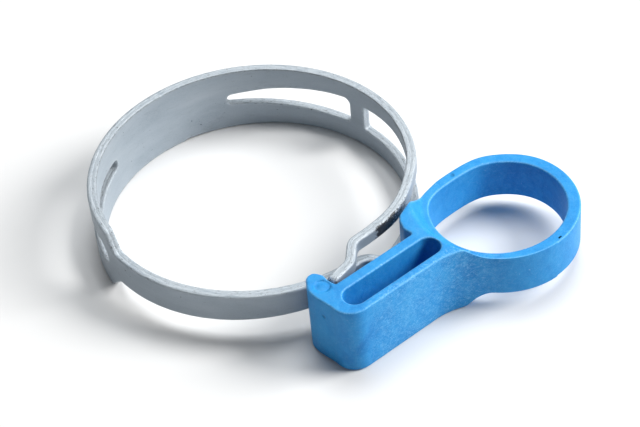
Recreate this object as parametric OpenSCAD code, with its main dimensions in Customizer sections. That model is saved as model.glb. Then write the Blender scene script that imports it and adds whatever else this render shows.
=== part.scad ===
// Constant-tension spring band clamp, held open by a pull-off plastic clip.
// Origin: on the axis of the hose bore, in the plane that the clamp rests on. +Z runs along the bore.
// The two ends of the band overlap in front, at ear_angle. Their ears stand outwards and are
// kept together by the clip. The band is one strip of spring steel. It is drawn here in
// five lengths, because it bends: each length turns a little about the end of the one before it.

/* [Band] */
// Inside diameter of the band while the clip holds it open
bore_d = 50.7; // [50.2:0.1:51.2]
// Thickness of the strip
strip_t = 1.6; // [1.4:0.1:1.7]
// Width of the strip
band_w = 12; // [11.6:0.1:12.2]
// Gap left between two lengths of the strip
flex_gap = 0.2; // [0.15:0.05:0.3]

/* [Slots] */
// Height of the long slots at their narrow tip
slot_tip_h = 1.9; // [1.5:0.1:2.2]
// Height of the back slot at its wide end
back_slot_h = 5; // [4.5:0.1:5.4]
// Height of the side slot at its wide end
side_slot_h = 4.1; // [3.8:0.1:4.4]

/* [Ends] */
// Height of the tongue where it leaves the full width
tongue_h = 5.5; // [5.2:0.1:5.6]
// Lower edge of the window at the ear
window_low = 3.1; // [2.8:0.1:3.2]
// Upper edge of the window at the ear
window_high = 9.8; // [9.5:0.1:10]

/* [Clip] */
// Height of the clip's body
clip_h = 12.4; // [12.2:0.1:13]
// Height of the finger ring
finger_h = 7.3; // [6.5:0.1:8]
// Radius of the hole in the finger ring
finger_r = 11; // [10.6:0.1:11.2]
// Outer radius of the finger ring
finger_outer_r = 12.8; // [12.6:0.1:13]
// Width of the long slot through the clip's body
clip_slot_w = 3.8; // [3.2:0.1:4]

/* [Hidden] */
$fn = 96;

in_r = bore_d / 2;
out_r = in_r + strip_t;
mid_r = in_r + strip_t / 2;
mid_z = band_w / 2;

// Angles round the bore, counted from +X towards +Y
ear_angle = -55.5;
back_angle = ear_angle + 180;
flex_step = 45;
left_flex = [back_angle + flex_step, back_angle + 3 * flex_step];
right_flex = [back_angle - flex_step, back_angle - 3 * flex_step];
gap_angle = flex_gap / mid_r * 180 / PI;

// Where the slots and the tongue begin and end
back_slot_tip = 98.5;
back_slot_end = 47;
side_slot_tip = 154;
side_slot_end = 206.5;
window_start = 40;
window_start_low = 3.6;
window_start_high = 8.5;
top_shoulder = [207.3, 212.5];
low_shoulder = [205.7, 214.5];
tongue_taper_end = 300;
tongue_low = 3.3;
tongue_top = tongue_low + tongue_h;
tongue_taper = 0.7;
tongue_bend_angle = 307.2;
window_bend_angle = -53.5;
reach = 1;
hair = 0.02;

steel = [0.66, 0.70, 0.74];
plastic = [0.20, 0.56, 0.92];

// A length of the band between two angles
module wall(from_a, to_a, low = 0, high = band_w, extra = 0) {
    rotate([0, 0, from_a])
        rotate_extrude(angle = to_a - from_a)
            translate([in_r - extra, low])
                square([strip_t + 2 * extra, high - low]);
}

// Cutter for the rounded end of a slot, which stops at angle at_a. way is 1 where the slot ends
// towards larger angles and -1 towards smaller ones, and slope is how fast its half height changes
module slot_end(at_a, way, half_h, corner_r, slope, centre_z) {
    back = corner_r + 0.8;
    rotate([0, 0, at_a])
        translate([in_r - reach, 0, centre_z])
            rotate([90, 0, 90])
                linear_extrude(strip_t + 2 * reach)
                    polygon(concat(
                        [[-way * back, -half_h + slope * back + hair]],
                        [for (a = [-90:15:90])
                            [way * corner_r * (cos(a) - 1), sign(a) * (half_h - corner_r) + corner_r * sin(a)]],
                        [[-way * back, half_h - slope * back - hair]]));
}

// Everything above (or below) a plane that tilts along the wall: it passes through the heights
// z_1 at angle a_1 and z_2 at angle a_2
module tilted_half(a_1, z_1, a_2, z_2, above) {
    middle_a = (a_1 + a_2) / 2;
    run = 2 * mid_r * sin((a_2 - a_1) / 2);
    rotate([0, 0, middle_a])
        translate([0, 0, (z_1 + z_2) / 2])
            rotate([atan((z_2 - z_1) / run), 0, 0])
                translate([-2 * mid_r, -2 * mid_r, above ? 0 : -4 * mid_r])
                    cube(4 * mid_r);
}

// Cutter for a slot that widens evenly from a round tip to an end with rounded corners
module widening_slot(tip_a, end_a, tip_h, end_h, centre_z, corner_r) {
    way = sign(end_a - tip_a);
    tip_from = tip_a + way * tip_h / 2 / mid_r * 180 / PI;
    end_from = end_a - way * corner_r / mid_r * 180 / PI;
    slope = (end_h - tip_h) / 2 / (abs(end_from - tip_from) * PI / 180 * mid_r);
    difference() {
        wall(min(tip_from, end_from), max(tip_from, end_from), 0, band_w, reach);
        tilted_half(tip_from, centre_z + tip_h / 2, end_from, centre_z + end_h / 2, true);
        tilted_half(tip_from, centre_z - tip_h / 2, end_from, centre_z - end_h / 2, false);
    }
    slot_end(tip_a, -way, tip_h / 2, tip_h / 2 - hair, -slope, centre_z);
    slot_end(end_a, way, end_h / 2, corner_r, slope, centre_z);
}

module back_slot() {
    widening_slot(back_slot_tip, back_slot_end, slot_tip_h, back_slot_h, 6.1, 1.2);
}

module side_slot() {
    widening_slot(side_slot_tip, side_slot_end, slot_tip_h, side_slot_h, 6.2, side_slot_h / 2 - hair);
}

// Cutter for the part of the window that follows the round of the band
module round_window() {
    difference() {
        wall(window_bend_angle - 0.5, window_start, 0, band_w, reach);
        tilted_half(window_bend_angle, window_high, window_start, window_start_high, true);
        tilted_half(window_bend_angle, window_low, window_start, window_start_low, false);
    }
}

// Each ear is a list of stretches, [length along the middle of the strip, angle it turns by].
// A positive angle turns to the left. The strip sets off along +X from the origin.
tongue_stretches = [[2.1, -59.2], [0.8, 0], [1.8, 52], [2.75, 0]];
window_stretches = [[1.4, 40], [1.5, 0], [1.3, -25], [3.9, 0]];
window_end_stretches = [[0.3, 0], [1.4, 40], [1.5, 0], [1.3, -25], [0.4, 0]];
turn_step = 7;

// Place and direction [x, y, angle] after part of a stretch that starts at a given place
function along(from, length, angle, share) =
    let (turned = angle * share,
        radius = angle == 0 ? 0 : length / (angle * PI / 180),
        ahead = angle == 0 ? length * share : radius * sin(turned),
        aside = angle == 0 ? 0 : radius * (1 - cos(turned)))
    [from.x + ahead * cos(from.z) - aside * sin(from.z),
        from.y + ahead * sin(from.z) + aside * cos(from.z), from.z + turned];

// All the places along a list of stretches
function walk(stretches, from = [0, 0, 0], i = 0) =
    i == len(stretches) ? [from] :
    let (s = stretches[i],
        steps = max(1, ceil(abs(s.y) / turn_step)))
    concat([for (k = [0:steps - 1]) along(from, s.x, s.y, k / steps)],
        walk(stretches, along(from, s.x, s.y, 1), i + 1));

// A strip that follows the stretches, between two heights
module strip(stretches, low, high, extra = 0) {
    places = walk(stretches);
    half = strip_t / 2 + extra;
    translate([0, 0, low])
        linear_extrude(high - low)
            polygon(concat(
                [for (p = places) [p.x - half * sin(p.z), p.y + half * cos(p.z)]],
                [for (i = [len(places) - 1:-1:0])
                    [places[i].x + half * sin(places[i].z), places[i].y - half * cos(places[i].z)]]));
}

module tongue_ear() {
    rotate([0, 0, tongue_bend_angle])
        translate([mid_r, 0, 0])
            rotate([0, 0, 90])
                strip(tongue_stretches, tongue_low + tongue_taper, tongue_top);
}

module window_ear() {
    rotate([0, 0, window_bend_angle])
        translate([mid_r, 0, 0])
            rotate([0, 0, -90])
                difference() {
                    strip(window_stretches, 0, band_w);
                    translate([-window_end_stretches[0].x, 0, 0])
                        strip(window_end_stretches, window_low, window_high, 0.5);
                }
}

// Cutters that narrow the full width down to the tongue, with a sloping shoulder above and below
module tongue_cutters() {
    intersection() {
        wall(top_shoulder[0] - 1, 320, tongue_top, band_w + 1, reach);
        tilted_half(top_shoulder[0], band_w, top_shoulder[1], tongue_top, true);
    }
    intersection() {
        wall(low_shoulder[0] - 1, 320, -1, mid_z, reach);
        tilted_half(low_shoulder[0], 0, low_shoulder[1], tongue_low, false);
        tilted_half(low_shoulder[0], tongue_low, tongue_taper_end, tongue_low + tongue_taper, false);
    }
}

module band_back() color(steel)
    difference() {
        wall(right_flex[0] + gap_angle / 2, left_flex[0] - gap_angle / 2);
        back_slot();
        side_slot();
    }

module band_left() color(steel)
    difference() {
        wall(left_flex[0] + gap_angle / 2, left_flex[1] - gap_angle / 2);
        side_slot();
        tongue_cutters();
    }

module band_right() color(steel)
    difference() {
        wall(right_flex[1] + gap_angle / 2, right_flex[0] - gap_angle / 2);
        back_slot();
        round_window();
    }

module tongue_end() color(steel) {
    difference() {
        wall(left_flex[1] + gap_angle / 2, tongue_bend_angle);
        tongue_cutters();
    }
    tongue_ear();
}

module window_end() color(steel) {
    difference() {
        wall(window_bend_angle, right_flex[1] - gap_angle / 2);
        round_window();
    }
    window_ear();
}

// The clip is drawn along its own length: x runs along the body, from the left nose to the
// finger ring, and y runs outwards, away from the bore
clip_turn = ear_angle + 92;
pocket_y = 30.65;
pocket_x = [-8.25, 7.5];
body_y = 37.9;
body_end_r = 3.4;
body_end_x = -8.7;
nose_r = 1.7;
finger_x = 23.75;
finger_y = 33.3;
flat_y = 22.05;
hole_x = 23.25;
hole_y = 33;
hole_flat_y = 23.98;
finger_low = (clip_h - finger_h) / 2;
fillet_r = 12;
fillet_step = 4;
fillet_y = body_y + fillet_r;
fillet_x = finger_x - sqrt(pow(finger_outer_r + fillet_r, 2) - pow(fillet_y - finger_y, 2));
fillet_end = atan2(finger_y - fillet_y, finger_x - fillet_x);
slot_x = [-7.7, 7.3];
slot_y = 34.5;
cone_low_r = 12.55;
cone_high_r = 14.3;
mark_x = -10;
mark_y = 29.6;
mark_r = 1.3;
mark_depth = 0.2;

module disc_at(x, y, r) {
    translate([x, y])
        circle(r = r);
}

// Disc with one side cut off at y = flat
module flattened_disc(x, y, r, flat) {
    difference() {
        disc_at(x, y, r);
        translate([x - 2 * r, flat - 2 * r])
            square([4 * r, 2 * r]);
    }
}

module body_outline() {
    // Left end with its nose
    disc_at(-10.1, 27.9, nose_r);
    disc_at(body_end_x, body_y - body_end_r, body_end_r);
    polygon([[-11.6, 27.3], [-8.5, 27.9], [pocket_x[0], pocket_y], [-8.2, body_y], [body_end_x, body_y],
        [body_end_x - body_end_r, body_y - body_end_r], [-12.35, 30.3], [-12.2, 28.6]]);
    // Straight body
    translate([body_end_x, pocket_y])
        square([19, body_y - pocket_y]);
    // Right nose and the neck behind it
    disc_at(9.2, 27.4, nose_r);
    polygon([[pocket_x[1], pocket_y + 1], [pocket_x[1], 27.4], [9.2, 25.8], [10.4, 25.5], [19, flat_y],
        [finger_x, flat_y], [finger_x, finger_y], [9, body_y]]);
    // Sweep from the straight body into the near side of the ring
    polygon(concat(
        [[finger_x, finger_y], [fillet_x, pocket_y]],
        [for (a = [-90:fillet_step:fillet_end - fillet_step / 2])
            [fillet_x + fillet_r * cos(a), fillet_y + fillet_r * sin(a)]],
        [[fillet_x + fillet_r * cos(fillet_end), fillet_y + fillet_r * sin(fillet_end)]]));
}

module body_slot() {
    for (x = slot_x)
        disc_at(x, slot_y, clip_slot_w / 2);
    translate([slot_x[0], slot_y - clip_slot_w / 2])
        square([slot_x[1] - slot_x[0], clip_slot_w]);
}

// Cutter that brings the body's face down to the ring's height, as a cone round the ring
module lowering() {
    low = finger_low + finger_h - hair;
    translate([finger_x, finger_y, low])
        cylinder(h = clip_h - low + hair, r1 = cone_low_r, r2 = cone_high_r);
}

module retaining_clip() color(plastic)
    rotate([0, 0, clip_turn])
        mirror([0, 1, 0])
            difference() {
                union() {
                    difference() {
                        linear_extrude(clip_h)
                            body_outline();
                        lowering();
                        translate([0, 0, clip_h])
                            mirror([0, 0, 1])
                                lowering();
                    }
                    translate([0, 0, finger_low])
                        linear_extrude(finger_h)
                            flattened_disc(finger_x, finger_y, finger_outer_r, flat_y);
                }
                translate([0, 0, -reach])
                    linear_extrude(clip_h + 2 * reach) {
                        flattened_disc(hole_x, hole_y, finger_r, hole_flat_y);
                        body_slot();
                    }
                // Round ejector mark on the left nose
                translate([mark_x, mark_y, clip_h - mark_depth])
                    cylinder(h = reach, r = mark_r);
            }

band_back();
band_left();
band_right();
tongue_end();
window_end();
retaining_clip();
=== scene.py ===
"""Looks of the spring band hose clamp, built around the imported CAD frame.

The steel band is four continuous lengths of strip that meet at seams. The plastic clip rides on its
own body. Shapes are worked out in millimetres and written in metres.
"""

import math

import bmesh
import bpy
import numpy as np
from mathutils import Matrix, Vector, geometry, noise


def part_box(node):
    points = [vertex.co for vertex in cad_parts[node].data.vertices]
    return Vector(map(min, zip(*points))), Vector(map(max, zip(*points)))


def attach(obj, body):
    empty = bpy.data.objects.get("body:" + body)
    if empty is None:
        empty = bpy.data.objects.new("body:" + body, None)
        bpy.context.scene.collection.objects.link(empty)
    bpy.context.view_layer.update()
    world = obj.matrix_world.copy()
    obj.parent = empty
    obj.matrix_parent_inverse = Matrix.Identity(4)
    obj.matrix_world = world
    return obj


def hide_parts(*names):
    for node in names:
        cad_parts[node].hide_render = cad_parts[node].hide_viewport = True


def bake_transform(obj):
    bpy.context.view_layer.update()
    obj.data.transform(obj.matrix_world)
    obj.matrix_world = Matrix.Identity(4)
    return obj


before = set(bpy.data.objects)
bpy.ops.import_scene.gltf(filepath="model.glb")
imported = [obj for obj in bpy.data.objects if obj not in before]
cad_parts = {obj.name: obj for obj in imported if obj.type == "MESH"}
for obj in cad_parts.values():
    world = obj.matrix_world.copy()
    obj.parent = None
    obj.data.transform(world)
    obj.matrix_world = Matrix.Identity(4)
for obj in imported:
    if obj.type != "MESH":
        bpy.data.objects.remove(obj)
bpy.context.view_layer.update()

MM = 0.001
scene = bpy.context.scene
scene.view_settings.view_transform = "Standard"
scene.view_settings.look = "None"

# ---------------------------------------------------------------- sizes
# The band's width and the clip's height come from the frame. The strip and the bore are as in the CAD.
band_low, band_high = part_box("band_back")
clip_low, clip_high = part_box("retaining_clip")
BAND_W = (band_high.z - band_low.z) / MM
CLIP_H = (clip_high.z - clip_low.z) / MM
STRIP_T = 1.6
IN_R = 25.35
MID_R = IN_R + STRIP_T / 2

# Angles round the bore, in degrees. The band's lengths meet at the seams.
SEAM_BACK = 124.5
SEAM_TONGUE = 220.0
SEAM_BRIDGE = 43.5

# The ears: where the strip leaves the circle, and then its stretches of (length, turn in degrees)
TONGUE_BEND = 305.9
TONGUE_STRETCHES = [(2.9, -61), (1.2, 0), (1.3, 61), (2.4, 0)]
WINDOW_BEND = -51.3
WINDOW_STRETCHES = [(1.8, 44.5), (2.7, 0), (1.8, -33), (3.95, 0)]

# The tongue, the steps down to it, and the openings: places as angles, heights above the lower edge
TONGUE_TOP = 8.8
TONGUE_RISE = (226, 300)
LOWER_STEP = (205.7, 213.6)
UPPER_STEP = (212.0, 207.2)
SIDE_SLOT = (154, 206.5)
SIDE_SLOT_WIDE = 202
BACK_SLOT = (98.5, 47)
BACK_SLOT_UPPER = [(90, 7.25), (80, 7.7), (70, 8.0), (60, 8.35)]
BACK_SLOT_LOWER = [(60, 3.85), (70, 4.1), (80, 4.4), (90, 4.75)]
BACK_NICK = (117.6, 117.0, 100)
WINDOW_START = 40

# The dark rubbed patch beside the window: where it begins, is full, begins to fade and ends
RUBBED_PATCH = (-18, -41, -41.5, -45)

# Steps between the points of the outlines and of the faces
BAND_STEP = 0.5
FINE_STEP = 0.4
BAND_FACE_STEP = 0.9
CLIP_FACE_STEP = 0.42


def degrees_to_mm(angle):
    """Length along the strip's middle line."""
    return math.radians(angle) * MID_R


# ---------------------------------------------------------------- outlines
WIDEST_FACET = 13
SHARPEST_MITRE = 0.6
SAME_PLACE = 1e-6


def rounded(corners, spacing):
    """Closed outline through (x, y, corner radius), with arcs at the corners and even steps between."""
    arcs = []
    count = len(corners)
    for i, (x, y, radius) in enumerate(corners):
        here = np.array([x, y], float)
        back = np.array(corners[i - 1][:2], float) - here
        ahead = np.array(corners[(i + 1) % count][:2], float) - here
        back /= np.linalg.norm(back)
        ahead /= np.linalg.norm(ahead)
        half = math.acos(np.clip(back @ ahead, -1, 1)) / 2
        if radius <= 0 or half > math.pi / 2 - 0.01:
            arcs.append([here])
            continue
        reach = radius / math.tan(half)
        middle = (back + ahead) / np.linalg.norm(back + ahead)
        centre = here + middle * radius / math.sin(half)
        start, end = here + back * reach - centre, here + ahead * reach - centre
        turn = math.pi - 2 * half
        way = np.sign(start[0] * end[1] - start[1] * end[0])
        steps = max(2, int(math.ceil(turn / math.radians(WIDEST_FACET))), int(turn * radius / spacing))
        first = math.atan2(start[1], start[0])
        arcs.append([centre + radius * np.array([math.cos(first + way * turn * k / steps),
                                                 math.sin(first + way * turn * k / steps)])
                     for k in range(steps + 1)])
    points = []
    for i, arc in enumerate(arcs):
        points += arc
        after = arcs[(i + 1) % count][0]
        run = after - arc[-1]
        pieces = max(1, int(math.ceil(np.linalg.norm(run) / spacing)))
        points += [arc[-1] + run * k / pieces for k in range(1, pieces)]
    return np.array(points)


def facing(loop, inward):
    """The outline turned so that the material lies on its left."""
    area = np.sum(loop[:, 0] * np.roll(loop[:, 1], -1) - np.roll(loop[:, 0], -1) * loop[:, 1])
    return loop if (area > 0) == inward else loop[::-1]


def inset_directions(loop, seams):
    """Direction into the material at each point of an outline. Points on a seam stay where they are, apart
    from its two ends, which move along it."""
    before = loop - np.roll(loop, 1, axis=0)
    after = np.roll(loop, -1, axis=0) - loop
    before /= np.linalg.norm(before, axis=1)[:, None]
    after /= np.linalg.norm(after, axis=1)[:, None]
    left = np.stack([-before[:, 1], before[:, 0]], axis=1) + np.stack([-after[:, 1], after[:, 0]], axis=1)
    left /= np.linalg.norm(left, axis=1)[:, None]
    across = np.abs(left[:, 0] * -before[:, 1] + left[:, 1] * before[:, 0])
    stretch = 1 / np.maximum(SHARPEST_MITRE, across)
    left *= stretch[:, None]
    for x in seams:
        on = np.abs(loop[:, 0] - x) < SAME_PLACE
        corner = on & ~(np.roll(on, 1) & np.roll(on, -1))
        left[on] = 0
        if on.any():
            left[corner, 1] = np.where(loop[corner, 1] > loop[on, 1].mean(), -1, 1)
    return left


def distance_to(points, others):
    """Distance from each point to the nearest of the others, a group at a time to save memory."""
    nearest = np.full(len(points), np.inf)
    group = 200
    for k in range(0, len(others), group):
        gap = np.linalg.norm(points[:, None] - others[None, k:k + group], axis=2).min(axis=1)
        nearest = np.minimum(nearest, gap)
    return nearest


def inside(points, loops):
    """Which points lie inside the outer outline and outside the holes."""
    odd = np.zeros(len(points), bool)
    for loop in loops:
        x_1, y_1 = loop.T
        x_2, y_2 = np.roll(loop, -1, axis=0).T
        for k in range(len(loop)):
            cross = (y_1[k] > points[:, 1]) != (y_2[k] > points[:, 1])
            if cross.any():
                share = (points[:, 1] - y_1[k]) / (y_2[k] - y_1[k] + 1e-30)
                at = x_1[k] + share * (x_2[k] - x_1[k])
                odd ^= cross & (points[:, 0] < at)
    return odd


def filled(loops, step, extra=()):
    """Triangles that fill the outlines. Their points are the outlines' own, then the extra ones, and then a
    triangular grid of inner points that keeps clear of both."""
    edge = np.concatenate(loops)
    low, high = edge.min(0), edge.max(0)
    rows = np.arange(low[1] + step / 2, high[1], step * 0.87)
    columns = np.arange(low[0], high[0], step)
    grid = [(x + (k % 2) * step / 2, y) for k, y in enumerate(rows) for x in columns]
    grid = np.concatenate([np.array(extra, float).reshape(-1, 2), np.array(grid)])
    grid = grid[inside(grid, loops)]
    keep = distance_to(grid, edge) > step * 0.5
    if len(extra):
        gap = distance_to(grid, np.array(extra, float))
        keep = (gap < 1e-9) | ((gap > step * 0.35) & keep)
    points = np.concatenate([edge, grid[keep]])
    constraints, first = [], 0
    for loop in loops:
        constraints += [(first + k, first + (k + 1) % len(loop)) for k in range(len(loop))]
        first += len(loop)
    made = geometry.delaunay_2d_cdt([Vector(p) for p in points], constraints, [], 0, 1e-7)
    if len(made[0]) != len(points):
        raise ValueError(f"the outline crosses itself: {len(points)} points became {len(made[0])}")
    origin = [ids[0] for ids in made[3]]
    triangles = np.array([[origin[i] for i in face] for face in made[2]])
    centres = points[triangles].mean(axis=1)
    return points, triangles[inside(centres, loops)]


def shell(name, loops, rows, place, step, seams=(), extra=()):
    """Closed mesh of a plate.

    loops are its outlines, the outer one first. rows are (level, inset), where level is a function of x
    and y, and run over the edge from one face to the other. place turns x, y and level into a point.
    Returns the object and, for each vertex, (x, y), its level and its share of the way over the edge.
    """
    loops = [facing(np.asarray(loop, float), k == 0) for k, loop in enumerate(loops)]
    ways = [inset_directions(loop, seams) for loop in loops]
    flat, level, share, faces = [], [], [], []
    total = sum(len(loop) for loop in loops)
    for j, (height, inset) in enumerate(rows):
        moved = np.concatenate([loop + way * inset for loop, way in zip(loops, ways)])
        flat.append(moved)
        level.append(height(moved[:, 0], moved[:, 1]))
        share.append(np.full(total, j / (len(rows) - 1)))
        if j:
            first = 0
            for loop in loops:
                n = len(loop)
                for k in range(n):
                    a, b = first + k, first + (k + 1) % n
                    faces.append(((j - 1) * total + a, (j - 1) * total + b, j * total + b, j * total + a))
                first += n
    count = len(rows) * total
    for j in (0, len(rows) - 1):
        height, inset = rows[j]
        moved = [loop + way * inset for loop, way in zip(loops, ways)]
        points, triangles = filled(moved, step, extra)
        inner = points[total:]
        flat.append(inner)
        level.append(height(inner[:, 0], inner[:, 1]))
        share.append(np.full(len(inner), 0.0 if j == 0 else 1.0))
        index = np.concatenate([np.arange(total) + j * total, np.arange(len(inner)) + count])
        count += len(inner)
        faces += [(a, b, c) if j == 0 else (c, b, a) for a, b, c in index[triangles]]
    flat, level, share = np.concatenate(flat), np.concatenate(level), np.concatenate(share)
    points = place(flat[:, 0], flat[:, 1], level)
    mesh = bpy.data.meshes.new(name)
    mesh.from_pydata((points * MM).tolist(), [], [tuple(int(i) for i in f) for f in faces])
    mesh.validate()
    made = bpy.data.objects.new(name, mesh)
    scene.collection.objects.link(made)
    return made, flat, level, share


SHARP_ANGLE = 55


def settle(made):
    """Outward normals, and smooth shading with creases only at sharp corners."""
    work = bmesh.new()
    work.from_mesh(made.data)
    bmesh.ops.recalc_face_normals(work, faces=work.faces[:])
    work.to_mesh(made.data)
    work.free()
    made.data.shade_smooth()
    made.data.set_sharp_from_angle(angle=math.radians(SHARP_ANGLE))


def keep_attribute(made, name, values):
    """Keeps a number or a vector for each vertex, for the material to read."""
    kind = "FLOAT_VECTOR" if np.ndim(values) == 2 else "FLOAT"
    layer = made.data.attributes.new(name, kind, "POINT")
    layer.data.foreach_set("vector" if kind == "FLOAT_VECTOR" else "value",
                           np.asarray(values, np.float32).ravel())


# ---------------------------------------------------------------- node helpers
def material(name):
    made = bpy.data.materials.new(name)
    made.use_nodes = True
    return made, made.node_tree


def add(tree, kind, **settings):
    """A new node. A setting that starts with in_ is the value of the input with that name."""
    node = tree.nodes.new(kind)
    for key, value in settings.items():
        if key.startswith("in_"):
            slot = key[3:].replace("_", " ")
            node.inputs[slot].default_value = value
        else:
            setattr(node, key, value)
    return node


def attribute(tree, name, output="Fac"):
    """A value that keep_attribute left on the mesh."""
    return add(tree, "ShaderNodeAttribute", attribute_name=name).outputs[output]


def ramp(tree, source, stops):
    """The source turned into greys or colours, from stops of (position, grey or colour)."""
    node = tree.nodes.new("ShaderNodeValToRGB")
    while len(node.color_ramp.elements) < len(stops):
        node.color_ramp.elements.new(0.5)
    for element, (at, colour) in zip(node.color_ramp.elements, stops):
        element.position = at
        element.color = (*colour, 1) if np.ndim(colour) else (colour, colour, colour, 1)
    tree.links.new(source, node.inputs["Fac"])
    return node.outputs["Color"]


def scaled(tree, source, scale, offset=(0, 0, 0)):
    """A vector stretched and moved, so that each noise pattern has its own grain and place."""
    node = tree.nodes.new("ShaderNodeMapping")
    node.inputs["Scale"].default_value = scale
    node.inputs["Location"].default_value = offset
    tree.links.new(source, node.inputs["Vector"])
    return node.outputs["Vector"]


def noise_of(tree, vector, scale, detail=4, roughness=0.55, distortion=0.0):
    node = add(tree, "ShaderNodeTexNoise", in_Scale=scale, in_Detail=detail, in_Roughness=roughness,
               in_Distortion=distortion)
    tree.links.new(vector, node.inputs["Vector"])
    return node.outputs["Fac"]


def math_of(tree, operation, a, b):
    node = add(tree, "ShaderNodeMath", operation=operation)
    for slot, value in enumerate((a, b)):
        if isinstance(value, (int, float)):
            node.inputs[slot].default_value = value
        else:
            tree.links.new(value, node.inputs[slot])
    return node.outputs[0]


def times(tree, a, b):
    return math_of(tree, "MULTIPLY", a, b)


def mixed(tree, share, a, b):
    """Colour a, turning to colour b with the share."""
    node = add(tree, "ShaderNodeMix", data_type="RGBA")
    for slot, kind, value in (("Factor", "VALUE", share), ("A", "RGBA", a), ("B", "RGBA", b)):
        socket = next(s for s in node.inputs if s.name == slot and s.type == kind)
        if isinstance(value, (int, float)):
            socket.default_value = value
        elif isinstance(value, tuple):
            socket.default_value = (*value, 1)
        else:
            tree.links.new(value, socket)
    return next(s for s in node.outputs if s.type == "RGBA")


def bumps(tree, layers):
    """Bump nodes one after another, from (height, strength, distance in metres)."""
    normal = None
    for height, strength, distance in layers:
        node = add(tree, "ShaderNodeBump", in_Strength=strength, in_Distance=distance)
        tree.links.new(height, node.inputs["Height"])
        if normal is not None:
            tree.links.new(normal, node.inputs["Normal"])
        normal = node.outputs["Normal"]
    return normal


# ---------------------------------------------------------------- materials
def spot(tree, vector, centre, radius):
    """1 at a point of the vector's space, falling to 0 at a radius round it."""
    away = add(tree, "ShaderNodeVectorMath", operation="DISTANCE")
    away.inputs[1].default_value = centre
    tree.links.new(vector, away.inputs[0])
    return ramp(tree, math_of(tree, "DIVIDE", away.outputs["Value"], radius), [(0.4, 1.0), (1.0, 0.0)])


# Colours of the steel, linear
STEEL_CLOUDS = [(0.3, (0.265, 0.318, 0.372)), (0.5, (0.335, 0.392, 0.448)), (0.72, (0.41, 0.465, 0.515))]
STEEL_GRAIN = (0.48, 0.53, 0.57)
# Pale edge colour: partly worn coat, partly a painted highlight
STEEL_WORN_EDGE_AND_HIGHLIGHT = (0.60, 0.65, 0.69)
STEEL_RUBBED = (0.20, 0.225, 0.25)
STEEL_STAIN = (0.15, 0.17, 0.19)
STEEL_SPECK = (0.04, 0.045, 0.05)
STEEL_SHEARED = (0.085, 0.09, 0.095)
STEEL_BARE = (0.045, 0.047, 0.052)
BARE_ROUGHNESS = (0.4, 0.4, 0.4)


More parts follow.
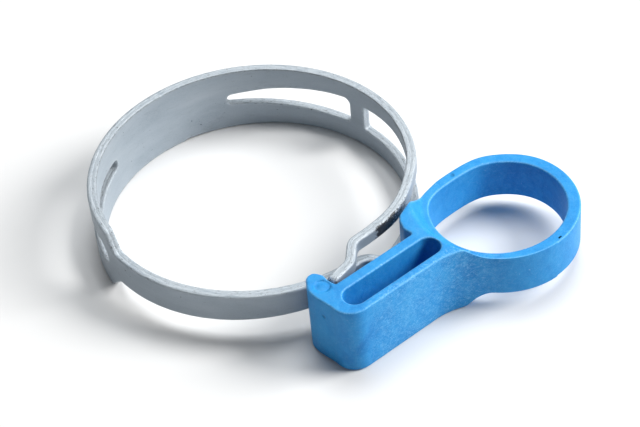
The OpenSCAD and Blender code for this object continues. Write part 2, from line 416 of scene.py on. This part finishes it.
def coated_steel():
    """Pale grey zinc-flake coat on spring steel: soft cloudy colour, fine grain, specks, worn edges, and pale
    edges that are partly worn coat and partly a painted highlight.
    """
    made, tree = material("coated_spring_steel")
    shader = tree.nodes["Principled BSDF"]
    strip = attribute(tree, "strip", "Vector")
    edge = attribute(tree, "edge")
    worn = attribute(tree, "worn")

    cloud = noise_of(tree, scaled(tree, strip, (0.05, 0.16, 0.4)), 1.0, 5, 0.6, 0.6)
    colour = ramp(tree, cloud, STEEL_CLOUDS)
    grain = noise_of(tree, scaled(tree, strip, (5.0, 7.0, 7.0)), 1.0, 3, 0.7)
    colour = mixed(tree, ramp(tree, grain, [(0.35, 0.0), (0.75, 0.35)]), colour, STEEL_GRAIN)
    # Pale edges all round, partly worn coat and partly a painted highlight
    pale_edge_noise = noise_of(tree, scaled(tree, strip, (0.5, 6.0, 9.0), (2, 17, 6)), 1.0, 5, 0.7, 0.3)
    worn_and_highlight_share = times(tree, ramp(tree, pale_edge_noise, [(0.40, 0.0), (0.58, 0.8)]), edge)
    colour = mixed(tree, worn_and_highlight_share, colour, STEEL_WORN_EDGE_AND_HIGHLIGHT)
    rub = noise_of(tree, scaled(tree, strip, (0.35, 3.2, 3.2)), 1.0, 6, 0.7, 0.4)
    colour = mixed(tree, ramp(tree, rub, [(0.62, 0.0), (0.72, 0.45)]), colour, STEEL_RUBBED)
    stain = noise_of(tree, scaled(tree, strip, (0.16, 0.4, 0.6), (41, 2, 8)), 1.0, 6, 0.75, 0.8)
    colour = mixed(tree, ramp(tree, stain, [(0.60, 0.0), (0.74, 0.35)]), colour, STEEL_STAIN)

    # Dark specks, a few more of them along the edges
    speck = noise_of(tree, scaled(tree, strip, (1.2, 2.1, 2.1), (31, 7, 3)), 1.0, 3, 0.6)
    speck_share = ramp(tree, math_of(tree, "ADD", speck, times(tree, edge, 0.035)),
                       [(0.705, 0.0), (0.745, 1.0)])
    colour = mixed(tree, times(tree, speck_share, 0.8), colour, STEEL_SPECK)

    # Sheared metal on the cut edges, darkest along the inner side of the upper rim
    shear = noise_of(tree, scaled(tree, strip, (1.6, 2.5, 5.0), (3, 11, 5)), 1.0, 5, 0.72, 0.8)
    parts = add(tree, "ShaderNodeSeparateXYZ")
    tree.links.new(strip, parts.inputs[0])
    inner_rim = ramp(tree, times(tree, parts.outputs["Z"], -0.5), [(0.34, 0.0), (0.39, 1.0)])
    top_rim = ramp(tree, math_of(tree, "DIVIDE", parts.outputs["Y"], BAND_W), [(0.955, 0.0), (0.98, 1.0)])
    rim = times(tree, times(tree, inner_rim, top_rim), edge)
    shear_share = times(tree, ramp(tree, shear, [(0.56, 0.0), (0.66, 1.0)]), edge)
    rim_share = times(tree, rim, ramp(tree, shear, [(0.38, 0.1), (0.54, 1.0)]))
    shear_share = math_of(tree, "MAXIMUM", shear_share, rim_share)
    colour = mixed(tree, times(tree, shear_share, 0.75), colour, STEEL_SHEARED)

    # Bare dark metal where the attribute worn says so
    bare = noise_of(tree, scaled(tree, strip, (1.7, 2.4, 2.4), (13, 5, 9)), 1.0, 6, 0.8, 0.7)
    strength = times(tree, worn, 0.6)
    patches = times(tree, math_of(tree, "SUBTRACT", bare, 0.5), 2.4)
    bare_share = ramp(tree, math_of(tree, "ADD", strength, patches), [(0.26, 0.0), (0.36, 1.0)])
    bare_share = times(tree, bare_share, ramp(tree, worn, [(0.0, 0.0), (0.08, 1.0)]))
    colour = mixed(tree, bare_share, colour, STEEL_BARE)
    tree.links.new(colour, shader.inputs["Base Color"])

    shader.inputs["Metallic"].default_value = 0.25
    rough = ramp(tree, cloud, [(0.25, 0.42), (0.75, 0.6)])
    rough = mixed(tree, bare_share, rough, BARE_ROUGHNESS)
    tree.links.new(rough, shader.inputs["Roughness"])
    shader.inputs["Specular IOR Level"].default_value = 0.45
    pits = math_of(tree, "SUBTRACT", 1.0, math_of(tree, "MAXIMUM", speck_share, bare_share))
    normal = bumps(tree, [(grain, 0.4, 0.00006), (rub, 0.3, 0.00008), (pits, 0.5, 0.00006),
                          (times(tree, shear, edge), 0.7, 0.00012)])
    tree.links.new(normal, shader.inputs["Normal"])
    return made


# Colours of the plastic, linear
BLUE_CLOUDS = [(0.3, (0.006, 0.205, 0.57)), (0.5, (0.012, 0.255, 0.645)), (0.75, (0.028, 0.315, 0.70))]
BLUE_PALE = (0.045, 0.37, 0.76)
BLUE_DEEP = (0.008, 0.17, 0.48)
BLUE_SCUFF = (0.22, 0.55, 0.86)
# Pale edge colour: partly rubbed plastic, partly a painted highlight
BLUE_WORN_EDGE_AND_HIGHLIGHT = (0.22, 0.56, 0.90)
BLUE_FLECK = (0.30, 0.62, 0.93)
BLUE_DIRT = (0.01, 0.10, 0.32)
BLUE_DIMPLE = (0.008, 0.12, 0.34)

# Dimples of the mould, in the clip's own millimetres: (centre, radius)
GATE = ((-12.05, 32.1, 9.2), 0.45)
PIN = ((23.0, 23.0, 9.85), 0.5)


def blue_plastic():
    """Blue moulded plastic with a satin skin, faint flow clouds, fine scuffs, and pale edges that are partly
    rubbed and partly a painted highlight.
    """
    made, tree = material("blue_plastic")
    shader = tree.nodes["Principled BSDF"]
    rest = attribute(tree, "rest", "Vector")
    edge = attribute(tree, "edge")
    scuffed = attribute(tree, "worn")

    cloud = noise_of(tree, scaled(tree, rest, (0.13, 0.13, 0.10)), 1.0, 5, 0.6, 0.7)
    colour = ramp(tree, cloud, BLUE_CLOUDS)
    patches = noise_of(tree, scaled(tree, rest, (0.55, 0.55, 0.4), (4, 9, 2)), 1.0, 6, 0.7, 1.0)
    colour = mixed(tree, ramp(tree, patches, [(0.42, 0.0), (0.68, 0.45)]), colour, BLUE_PALE)
    colour = mixed(tree, ramp(tree, patches, [(0.28, 0.3), (0.42, 0.0)]), colour, BLUE_DEEP)

    # Scuffs, pale edges that are partly rubbed and partly a painted highlight, flecks and dirt
    grain = noise_of(tree, scaled(tree, rest, (4.5, 4.5, 4.5)), 1.0, 4, 0.7)
    fine = noise_of(tree, scaled(tree, rest, (1.7, 1.7, 2.4), (5, 2, 8)), 1.0, 8, 0.8, 1.4)
    scuff_share = times(tree, ramp(tree, fine, [(0.49, 0.0), (0.60, 1.0)]), scuffed)
    colour = mixed(tree, times(tree, scuff_share, 0.6), colour, BLUE_SCUFF)
    worn_and_highlight_edges = times(tree, edge, ramp(tree, grain, [(0.35, 0.05), (0.62, 0.85)]))
    colour = mixed(tree, worn_and_highlight_edges, colour, BLUE_WORN_EDGE_AND_HIGHLIGHT)
    flecks = noise_of(tree, scaled(tree, rest, (1.9, 1.9, 1.9), (9, 3, 1)), 1.0, 4, 0.65, 0.5)
    colour = mixed(tree, ramp(tree, flecks, [(0.66, 0.0), (0.72, 0.45)]), colour, BLUE_FLECK)
    dirt = noise_of(tree, scaled(tree, rest, (0.9, 0.9, 0.9), (2, 13, 7)), 1.0, 6, 0.75, 0.6)
    colour = mixed(tree, ramp(tree, dirt, [(0.72, 0.0), (0.79, 0.35)]), colour, BLUE_DIRT)
    dimples = math_of(tree, "MAXIMUM", spot(tree, rest, *GATE), spot(tree, rest, *PIN))
    colour = mixed(tree, times(tree, dimples, 0.45), colour, BLUE_DIMPLE)
    tree.links.new(colour, shader.inputs["Base Color"])

    rough = ramp(tree, fine, [(0.3, 0.40), (0.7, 0.58)])
    tree.links.new(rough, shader.inputs["Roughness"])
    shader.inputs["Specular IOR Level"].default_value = 0.25
    normal = bumps(tree, [(grain, 0.25, 0.00005), (fine, 0.35, 0.00008), (patches, 0.3, 0.0002),
                          (cloud, 0.2, 0.0004), (math_of(tree, "SUBTRACT", 1.0, dimples), 0.8, 0.0002)])
    tree.links.new(normal, shader.inputs["Normal"])
    return made


def pale_floor():
    made, tree = material("pale_floor")
    shader = tree.nodes["Principled BSDF"]
    place = add(tree, "ShaderNodeTexCoord").outputs["Object"]
    cloud = noise_of(tree, place, 3.0, 3, 0.5)
    tree.links.new(ramp(tree, cloud, [(0.3, (0.80, 0.80, 0.805)), (0.7, (0.83, 0.83, 0.83))]),
                   shader.inputs["Base Color"])
    shader.inputs["Roughness"].default_value = 0.8
    shader.inputs["Specular IOR Level"].default_value = 0.1
    return made


# ---------------------------------------------------------------- the strip's course
ARC_STEP = 0.1
LINE_STEP = 0.05


def course(way, start_angle, bend_angle, stretches=(), bow=None):
    """Middle line of the strip seen along the bore: round the bore from start_angle to bend_angle and then
    along the stretches (length, turn). way is 1 towards larger angles and -1 towards smaller ones, and bow
    says how far the strip bows inwards at an angle. Returns the lengths along the line, its points and the
    directions away from the bore."""
    count = max(2, int(abs(bend_angle - start_angle) / ARC_STEP))
    angles = np.radians(np.linspace(start_angle, bend_angle, count))
    radius = MID_R - (bow(np.degrees(angles)) if bow else 0)
    line = [np.stack([radius * np.cos(angles), radius * np.sin(angles)], axis=1)]
    here = line[0][-1]
    ahead = line[0][-1] - line[0][-2]
    heading = math.atan2(ahead[1], ahead[0])
    for length, turn in stretches:
        pieces = max(2, int(length / LINE_STEP))
        bends = heading + math.radians(turn) * (np.arange(pieces) + 0.5) / pieces
        moves = np.stack([np.cos(bends), np.sin(bends)], axis=1) * length / pieces
        stretch = here + np.cumsum(moves, axis=0)
        line.append(stretch)
        here = stretch[-1]
        heading += math.radians(turn)
    line = np.concatenate(line)
    along = np.concatenate([[0], np.cumsum(np.linalg.norm(np.diff(line, axis=0), axis=1))])
    tangent = np.gradient(line, along, axis=0)
    tangent /= np.linalg.norm(tangent, axis=1)[:, None]
    outward = np.stack([tangent[:, 1], -tangent[:, 0]], axis=1) * way
    return along, line, outward


def on_course(found):
    """Turns length along the strip, height and distance outwards from its middle into a point."""
    along, line, outward = found

    def place(s, z, n):
        x = [np.interp(s, along, line[:, k]) + n * np.interp(s, along, outward[:, k]) for k in (0, 1)]
        return np.stack([x[0], x[1], z], axis=1)
    return place


# Edge of the strip from its outer face to its inner one, as (distance outwards from the middle, inset).
# The outer side is rolled over by the press, and the inner one keeps a small burr.
EDGE_ROWS = [(0.80, 0.72), (0.80, 0.44), (0.775, 0.27), (0.70, 0.14), (0.56, 0.055), (0.38, 0.015),
             (0.18, 0.0), (0.10, 0.012), (0.04, 0.035), (-0.02, 0.045), (-0.12, 0.03), (-0.30, 0.012),
             (-0.50, 0.0), (-0.66, 0.012), (-0.755, 0.06), (-0.80, 0.16), (-0.80, 0.50)]


EDGE_REACH = 0.5


def constant(value):
    """A level that is the same all over the face."""
    return lambda x, y: np.full(len(x), float(value))


def band_piece(name, outline, holes, found, way, from_angle, seams, worn):
    """One length of the band. outline and holes are in millimetres along the strip and up its width, found
    is its course, and worn gives the bare patches from the strip's own space and from (x, y)."""
    rows = [(constant(n), inset) for n, inset in EDGE_ROWS]
    place = on_course(found)
    made, flat, level, share = shell(name, [outline] + holes, rows, place, BAND_FACE_STEP, seams)
    length = degrees_to_mm(from_angle) + way * flat[:, 0]
    strip = np.stack([length, flat[:, 1], level], axis=1)
    loops = np.concatenate([outline] + holes)
    for x in seams:
        loops = loops[np.abs(loops[:, 0] - x) > SAME_PLACE]
    edge = np.clip(1 - distance_to(flat, loops) / EDGE_REACH, 0, 1)

    # The edges are a little uneven, and stay within the band's width
    rough = np.array([noise.noise(Vector((a * 0.9, b * 0.9, c * 1.6))) * 0.028
                      + noise.noise(Vector((a * 3.1, b * 3.1, c * 4.0))) * 0.014 for a, b, c in strip])
    moved = place(flat[:, 0], flat[:, 1], level)
    lift = np.where(flat[:, 1] > BAND_W / 2, 1, -1) * rough * edge
    moved[:, 2] = np.clip(moved[:, 2] + np.where((share > 0) & (share < 1), lift, 0), 0, BAND_W)
    made.data.vertices.foreach_set("co", (moved * MM).astype(np.float32).ravel())
    made.data.update()
    keep_attribute(made, "strip", strip)
    keep_attribute(made, "edge", edge)
    keep_attribute(made, "worn", worn(strip, flat))
    made.data.materials.append(STEEL)
    settle(made)
    return made


def bend(made):
    """Bakes the piece's transform into its mesh."""
    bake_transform(made)


def smooth(x, low, high):
    """0 below low, 1 above high, and a soft step between."""
    t = np.clip((x - low) / (high - low), 0, 1)
    return t * t * (3 - 2 * t)


# ---------------------------------------------------------------- the band
STEEL = coated_steel()


def tongue_low(angle):
    """Lower edge of the tongue, which rises towards the ear."""
    return 3.3 + 0.8 * smooth(angle, *TONGUE_RISE)


def along_left(angle):
    """Length along the left side, from the seam at the back."""
    return degrees_to_mm(angle - SEAM_BACK)


def along_right(angle):
    """Length along the right side, from the seam at the back."""
    return degrees_to_mm(SEAM_BACK - angle)


def no_wear(strip, flat):
    return np.zeros(len(flat))


def outer_side(strip):
    """1 on the strip's outer face, 0 from its middle inwards."""
    return smooth(strip[:, 2], 0.35, 0.75)


def side_slot_outline():
    """The slot in the left side, narrow at its tip."""
    tip, wide, end = along_left(SIDE_SLOT[0]), along_left(SIDE_SLOT_WIDE), along_left(SIDE_SLOT[1])
    return rounded([(tip, 5.2, 0.93), (tip, 7.1, 0.93), (wide, 8.35, 0), (end, 8.4, 2.0), (end, 4.2, 2.0),
                    (wide, 4.2, 0)], FINE_STEP)


def left_length():
    """The left side, from the seam at the back to the start of the tongue."""
    end = along_left(SEAM_TONGUE)
    lower = [(along_left(LOWER_STEP[0]), 0, 1.4), (along_left(LOWER_STEP[1]), tongue_low(LOWER_STEP[1]), 1.6)]
    upper = [(along_left(UPPER_STEP[0]), TONGUE_TOP, 1.2), (along_left(UPPER_STEP[1]), BAND_W, 1.1)]
    outline = rounded([(0, 0, 0), *lower, (end, tongue_low(SEAM_TONGUE), 0), (end, TONGUE_TOP, 0), *upper,
                       (0, BAND_W, 0)], BAND_STEP)
    found = course(1, SEAM_BACK, SEAM_TONGUE + 5)
    made = band_piece("band_side", outline, [side_slot_outline()], found, 1, SEAM_BACK, (0, end), no_wear)
    bend(made)
    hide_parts("band_back", "band_left")


def tongue_length():
    """The narrow tongue and its ear."""
    def bow(angle):
        return -0.1 * smooth(angle, 240, 290)

    def along(angle):
        return degrees_to_mm(angle - SEAM_TONGUE)

    def worn(strip, flat):
        return 0.62 * smooth(flat[:, 0], end - 6.5, end - 5.0) * outer_side(strip)
    found = course(1, SEAM_TONGUE, TONGUE_BEND, TONGUE_STRETCHES, bow)
    end = found[0][-1]
    lower = [(along(angle), tongue_low(angle), 0) for angle in (230, 245, 260, 275, 290)]
    outline = rounded([(0, tongue_low(SEAM_TONGUE), 0), *lower, (end, tongue_low(TONGUE_RISE[1]), 0.8),
                       (end, TONGUE_TOP, 0.8), (0, TONGUE_TOP, 0)], FINE_STEP)
    made = band_piece("band_tongue", outline, [], found, 1, SEAM_TONGUE, (0,), worn)
    bend(made)
    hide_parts("tongue_end")


def back_slot_outline():
    """The long slot that widens towards the bridge."""
    tip, end = along_right(BACK_SLOT[0]), along_right(BACK_SLOT[1])
    upper = [(along_right(angle), z, 0) for angle, z in BACK_SLOT_UPPER]
    lower = [(along_right(angle), z, 0) for angle, z in BACK_SLOT_LOWER]
    return rounded([(tip, 7.0, 0.9), *upper, (end, 8.8, 1.2), (end, 3.65, 1.2), *lower, (tip, 5.1, 0.9)],
                   FINE_STEP)


def right_length():
    """The right side, from the seam at the back to the bridge before the window."""
    end = along_right(SEAM_BRIDGE)
    found = course(-1, SEAM_BACK, SEAM_BRIDGE - 1)
    nick = [(along_right(angle), depth, 0) for angle, depth in zip(BACK_NICK, (0, 0.25, 0))]
    outline = rounded([(0, 0, 0), *nick, (end, 0, 0), (end, BAND_W, 0), (0, BAND_W, 0)], BAND_STEP)
    made = band_piece("band_shoulder", outline, [back_slot_outline()], found, -1, SEAM_BACK, (0, end),
                      no_wear)
    bend(made)
    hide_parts("band_right")


def wide_length():
    """The wide end: the window between its two rails, and the ear."""
    def bow(angle):
        return 0.3 * smooth(-angle, 0, 16) + 0.86 * smooth(-angle, 24, 54)

    def along(angle):
        return degrees_to_mm(SEAM_BRIDGE - angle)

    def worn(strip, flat):
        starts, full, fades, ends = (along(angle) for angle in RUBBED_PATCH)
        tip = 0.5 * smooth(flat[:, 0], end - 1.5, end - 0.2)
        patch = smooth(flat[:, 0], starts, full) * (1 - smooth(flat[:, 0], fades, ends))
        high = smooth(flat[:, 1], 4.0, 11.0)
        return np.maximum(tip, patch * high * outer_side(strip))
    found = course(-1, SEAM_BRIDGE, WINDOW_BEND, WINDOW_STRETCHES, bow)
    end = found[0][-1]
    start, ear = along(WINDOW_START), along(-45)
    window_end = along(WINDOW_BEND) + sum(length for length, turn in WINDOW_STRETCHES[:3]) + 0.4
    upper = [(start, 8.5, 0.6), (along(30), 8.8, 0), (along(20), 9.05, 0), (along(10), 9.1, 0),
             (ear, 9.75, 0), (window_end, 9.8, 0.6)]
    lower = [(window_end, 3.1, 0.6), (ear, 3.15, 0), (along(10), 3.5, 0), (start, 3.6, 0.6)]
    window = rounded(upper + lower, FINE_STEP)
    outline = rounded([(0, 0, 0), (end, 0, 0.9), (end, BAND_W, 0.9), (0, BAND_W, 0)], BAND_STEP)
    made = band_piece("band_window", outline, [window], found, -1, SEAM_BRIDGE, (0,), worn)
    bend(made)
    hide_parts("window_end")


# ---------------------------------------------------------------- the clip
# Drawn along its own length: u runs along the body, from the left nose to the finger ring, and v outwards
CLIP_TURN = 36.5
FINGER = (23.75, 33.3)
FINGER_OUTER_R = 12.8
FINGER_FLAT = 22.05
HOLE = (23.25, 33.4)
HOLE_R = 11.0
HOLE_FLAT = 23.98
BODY_V = 37.9
FILLET_R = 12.0
CONE_LOW_R, CONE_HIGH_R = 12.65, 14.3
CONE_SOFTNESS = 0.16
FLAT_SOFTNESS = 0.9
FINGER_RING_H = 7.3
FINGER_TOP = (CLIP_H + FINGER_RING_H) / 2
MARK = (-10.0, 29.6)
MARK_RINGS = (0.45, 0.6, 0.8, 1.05, 1.22, 1.3, 1.38)
SLOT_U = (-9.6, 9.2)
SLOT_V, SLOT_HALF = 34.5, 1.9
LEFT_NOSE = [(-12.1, BODY_V, 3.4), (-11.95, 33.8, 3), (-12.35, 30.4, 3), (-12.2, 28.6, 2),
             (-10.6, 26.3, 1.4), (-9.1, 26.25, 1.0), (-8.3, 27.8, 1), (-8.5, 29.2, 1), (-8.25, 30.65, 0.35)]
RIGHT_NOSE = [(7.45, 30.65, 0.35), (7.2, 28.9, 1.2), (8.05, 27.0, 1.0), (8.9, 26.1, 1.2), (10.4, 25.5, 2.0),
              (17.0, 22.86, 4.0)]
OUTER_DENTS = [(0.75, -52, 26)]
INNER_DENTS = [(0.7, -52, 26), (0.35, 95, 45)]
EDGE_R = 0.35
FACE_INSET = EDGE_R + 0.2


def plain_top(u, v):
    """Height of the clip's face: flat on the body, and down a cone to the finger ring."""
    away = np.hypot(u - FINGER[0], v - FINGER[1])
    rise = (away - CONE_LOW_R) / (CONE_HIGH_R - CONE_LOW_R) * (CLIP_H - FINGER_TOP)
    soft = CONE_SOFTNESS
    height = FINGER_TOP + soft * np.logaddexp(0, rise / soft)
    height = CLIP_H - soft * np.logaddexp(0, (CLIP_H - height) / soft)
    return np.where(u > FINGER[0], FINGER_TOP, height)


def clip_top(u, v):
    """The upper face, with the round ejector mark on the left nose."""
    mark = np.hypot(u - MARK[0], v - MARK[1])
    return plain_top(u, v) - 0.2 * (1 - smooth(mark, 1.22, 1.38)) + 0.07 * (1 - smooth(mark, 0.5, 0.8))


def flattened_radius(angle, radius, dents, flat):
    """Radius of a ring at an angle in degrees: a circle with one flattened side, at the distance flat from
    the centre, and with soft dents (depth, angle, spread)."""
    turned = (angle + 180) % 360 - 180
    for depth, at, spread in dents:
        radius -= depth * math.exp(-((turned - at) / spread) ** 2)
    down = max(-math.sin(math.radians(angle)), 0.05)
    soft = FLAT_SOFTNESS
    return -soft * np.logaddexp(-radius / soft, -(flat + 0.15) / down / soft)


def ring_part(centre, radius, dents, flat, start, end, spacing):
    """Points of a flattened ring from one angle to another, ends included."""
    points = []
    for angle in np.linspace(start, end, int(math.radians(end - start) * radius / spacing) + 1):
        r = flattened_radius(angle, radius, dents, flat)
        points.append((centre[0] + r * math.cos(math.radians(angle)),
                       centre[1] + r * math.sin(math.radians(angle)), 0))
    return points


def circle_part(centre, radius, start, end, spacing):
    """Points of an arc with even steps, ends included."""
    steps = max(3, int(abs(math.radians(end - start)) * radius / spacing))
    return [(centre[0] + radius * math.cos(math.radians(start + (end - start) * k / steps)),
             centre[1] + radius * math.sin(math.radians(start + (end - start) * k / steps)), 0)
            for k in range(steps + 1)]


def clip_outline():
    """The clip seen from above: both noses, the finger ring, and the sweep from the ring to the body."""
    fillet_v = BODY_V + FILLET_R
    fillet_u = FINGER[0] - math.sqrt((FINGER_OUTER_R + FILLET_R) ** 2 - (fillet_v - FINGER[1]) ** 2)
    meet = math.degrees(math.atan2(fillet_v - FINGER[1], fillet_u - FINGER[0]))
    ring = ring_part(FINGER, FINGER_OUTER_R, OUTER_DENTS, FINGER[1] - FINGER_FLAT, -108, meet, 0.5)
    fillet = circle_part((fillet_u, fillet_v), FILLET_R, meet - 180, -90, 0.5)
    return rounded(LEFT_NOSE + RIGHT_NOSE + ring + fillet[1:], FINE_STEP)


def hole_outline():
    """The hole of the finger ring."""
    step = 0.45
    return rounded(ring_part(HOLE, HOLE_R, INNER_DENTS, HOLE[1] - HOLE_FLAT, 0, 360, step)[:-1], step)


def body_slot_outline():
    """The slot through the clip's body."""
    low, high = SLOT_V - SLOT_HALF, SLOT_V + SLOT_HALF
    left, right = SLOT_U
    corner_r = SLOT_HALF - 0.02
    return rounded([(left, low, corner_r), (right, low, corner_r), (right, high, corner_r),
                    (left, high, corner_r)], FINE_STEP)


def clip_rows():
    """Rows over the clip's edge, from the upper face to the lower one: a rounding, the wall, a rounding."""
    def upper(depth):
        return lambda u, v: clip_top(u, v) - depth

    def wall(share):
        return lambda u, v: middle + share * (clip_top(u, v) - EDGE_R - middle)

    def lower(depth):
        return lambda u, v: CLIP_H - plain_top(u, v) + depth
    middle = CLIP_H / 2
    turns = [math.radians(angle) for angle in (0, 18, 36, 54, 72, 90)]
    roundings = [(EDGE_R * (1 - math.cos(turn)), EDGE_R * (1 - math.sin(turn))) for turn in turns]
    return ([(upper(0), FACE_INSET)] + [(upper(depth), inset) for depth, inset in roundings]
            + [(wall(share), 0.0) for share in (0.72, 0.4, 0.12, -0.12, -0.4, -0.72)]
            + [(lower(depth), inset) for depth, inset in reversed(roundings)] + [(lower(0), FACE_INSET)])


def retaining_clip():
    """The blue clip, drawn in (u, v) and turned into its place."""
    turn = math.radians(CLIP_TURN)

    def place(u, v, level):
        x, y = u * math.cos(turn) + v * math.sin(turn), u * math.sin(turn) - v * math.cos(turn)
        return np.stack([x, y, level], axis=1)
    rows = clip_rows()
    loops = [clip_outline(), hole_outline(), body_slot_outline()]
    marks = [(MARK[0] + r * math.cos(a), MARK[1] + r * math.sin(a))
             for r in MARK_RINGS for a in np.linspace(0, 2 * math.pi, 36, False)]
    made, flat, level, share = shell("retaining_clip_body", loops, rows, place, CLIP_FACE_STEP, extra=marks)
    keep_attribute(made, "rest", np.column_stack([flat, level]))

    # Pale edges on the roundings, partly rubbed and partly a painted highlight, and scuffs on the long outer
    # wall
    half = (len(rows) - 1) / 2
    from_middle = np.abs(share * (len(rows) - 1) - half) / half
    rounding = np.clip(1 - np.abs(from_middle - 0.66) / 0.2, 0, 1)
    keep_attribute(made, "edge", rounding * ((share > 0) & (share < 1)))
    u, v = flat.T
    long_wall = smooth(v, 36.5, 37.4) * smooth(u, -9, -5) * (1 - smooth(u, 12, 17))
    keep_attribute(made, "worn", 0.25 + 0.75 * long_wall)
    made.data.materials.append(blue_plastic())
    settle(made)
    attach(made, "clip")
    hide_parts("retaining_clip")


# ---------------------------------------------------------------- stage, light and camera
# Metres and watts
AIM = (0.01, -0.01, 0.006)


def stage():
    """A pale floor just under the object."""
    mesh = bpy.data.meshes.new("floor")
    half = 2.5
    corners = [(-half, -half, 0), (half, -half, 0), (half, half, 0), (-half, half, 0)]
    mesh.from_pydata(corners, [], [(0, 1, 2, 3)])
    floor = bpy.data.objects.new("floor", mesh)
    floor.location.z = clip_low.z - 0.0001
    scene.collection.objects.link(floor)
    mesh.materials.append(pale_floor())


def area_light(name, place, size, power, colour):
    """A round soft light that shines at the clamp."""
    light = bpy.data.lights.new(name, "AREA")
    light.shape = "DISK"
    light.size, light.energy, light.color = size, power, colour
    made = bpy.data.objects.new(name, light)
    made.location = place
    made.rotation_mode = "QUATERNION"
    made.rotation_quaternion = (Vector(AIM) - Vector(place)).to_track_quat("-Z", "Y")
    scene.collection.objects.link(made)


def lights():
    """A dim pale surround, a key light from the right and a softer one from above."""
    world = bpy.data.worlds.new("studio")
    scene.world = world
    world.use_nodes = True
    background = world.node_tree.nodes["Background"]
    background.inputs["Color"].default_value = (0.93, 0.97, 1.0, 1)
    background.inputs["Strength"].default_value = 0.13
    area_light("key", (0.52, 0.0, 0.38), 0.34, 5.0, (1.0, 0.99, 0.97))
    area_light("top", (0.05, 0.25, 0.66), 0.45, 3.4, (0.97, 0.99, 1.0))


def camera():
    """The photo's view: from the front and about 42 degrees above, with a long lens."""
    data = bpy.data.cameras.new("camera")
    data.lens = 106.41
    data.sensor_width = 36
    made = bpy.data.objects.new("camera", data)
    right = Vector((0.99477, -0.06879, -0.07553))
    up = Vector((0.10216, 0.66978, 0.73543))
    back = right.cross(up)
    turn = [[right[k], up[k], back[k]] for k in range(3)]
    made.location = Vector((10.36, -233.54, 212.77)) * MM
    made.rotation_mode = "QUATERNION"
    made.rotation_quaternion = Matrix(turn).to_quaternion()
    data.clip_start, data.clip_end = 0.01, 20
    scene.collection.objects.link(made)
    scene.camera = made


left_length()
tongue_length()
right_length()
wide_length()
retaining_clip()
stage()
lights()
camera()
